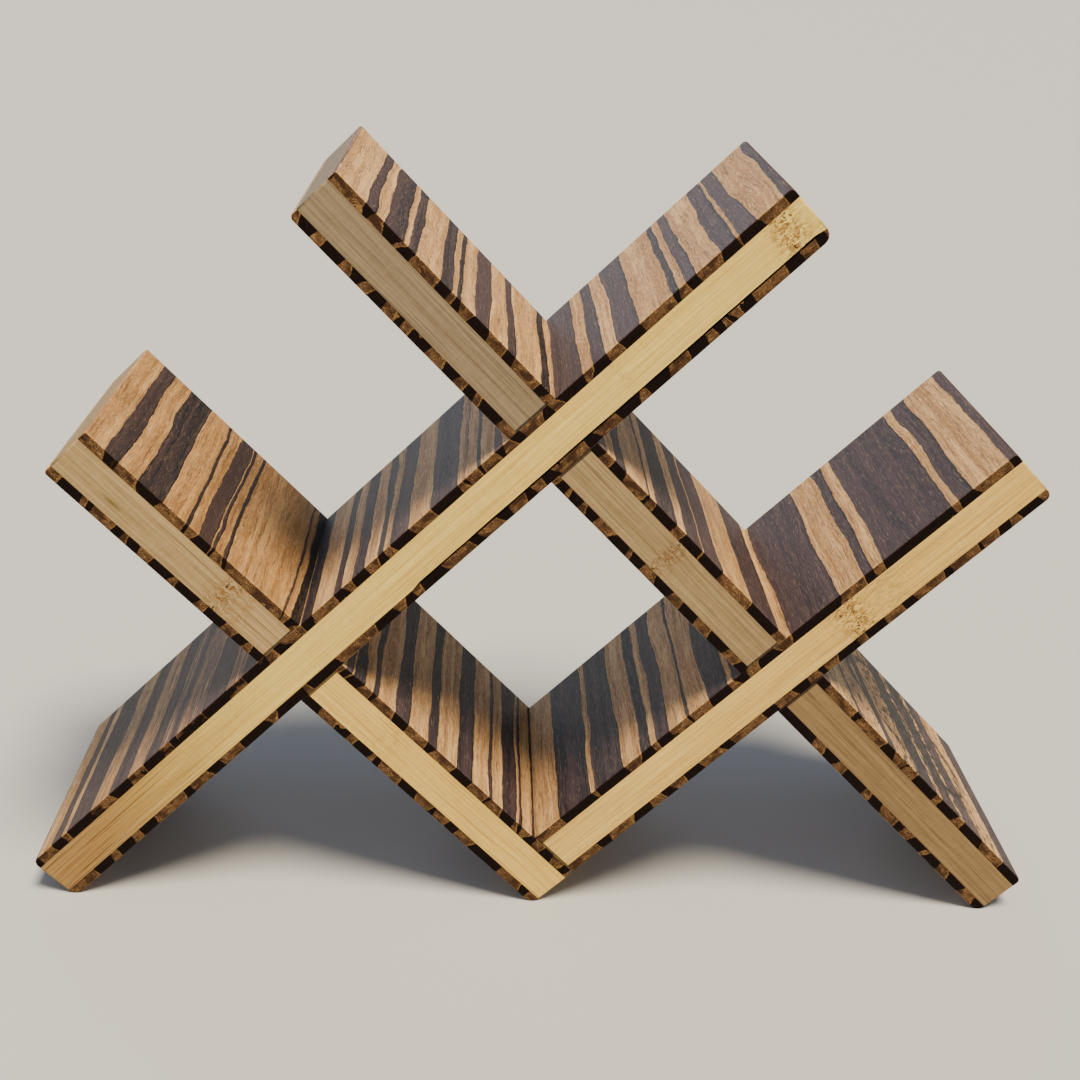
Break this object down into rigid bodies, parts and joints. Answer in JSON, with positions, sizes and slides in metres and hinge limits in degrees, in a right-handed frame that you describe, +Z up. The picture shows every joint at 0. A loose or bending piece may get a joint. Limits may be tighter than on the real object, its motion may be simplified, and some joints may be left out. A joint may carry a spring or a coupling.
{
  "type": "wine rack",
  "caption": "Free-standing counter-top wine rack: laminated bamboo boards butt-jointed into a square lattice turned to 45 degrees, holding bottles on their sides in open V cradles.",
  "frame": {"origin": "under the middle of the rack, on the surface that it stands on, halfway between its front and rear faces", "axes": "+X to the right across the front, +Y from the front face to the rear face and along the bottles, +Z up"},
  "size_m": [0.3352, 0.09, 0.2439],
  "materials": {
    "striped_face": "satin",
    "pale_core": "satin",
    "dowel_wood": "matte"
  },
  "bodies": {
    "root": {"long_rising_board_upper_ply": "striped_face", "long_rising_board_core": "pale_core", "long_rising_board_lower_ply": "striped_face", "short_rising_board_upper_ply": "striped_face", "short_rising_board_core": "pale_core", "short_rising_board_lower_ply": "striped_face", "upper_left_arm_upper_ply": "striped_face", "upper_left_arm_core": "pale_core", "upper_left_arm_lower_ply": "striped_face", "top_arm_upper_ply": "striped_face", "top_arm_core": "pale_core", "top_arm_lower_ply": "striped_face", "middle_foot_board_upper_ply": "striped_face", "middle_foot_board_core": "pale_core", "middle_foot_board_lower_ply": "striped_face", "middle_divider_upper_ply": "striped_face", "middle_divider_core": "pale_core", "middle_divider_lower_ply": "striped_face", "right_foot_board_upper_ply": "striped_face", "right_foot_board_core": "pale_core", "right_foot_board_lower_ply": "striped_face", "dowel_left_joint_front": "dowel_wood", "dowel_left_joint_rear": "dowel_wood", "dowel_top_joint_front": "dowel_wood", "dowel_top_joint_rear": "dowel_wood", "dowel_right_joint_front": "dowel_wood", "dowel_right_joint_rear": "dowel_wood", "dowel_middle_joint_front": "dowel_wood", "dowel_middle_joint_rear": "dowel_wood"}
  },
  "joints": []
}
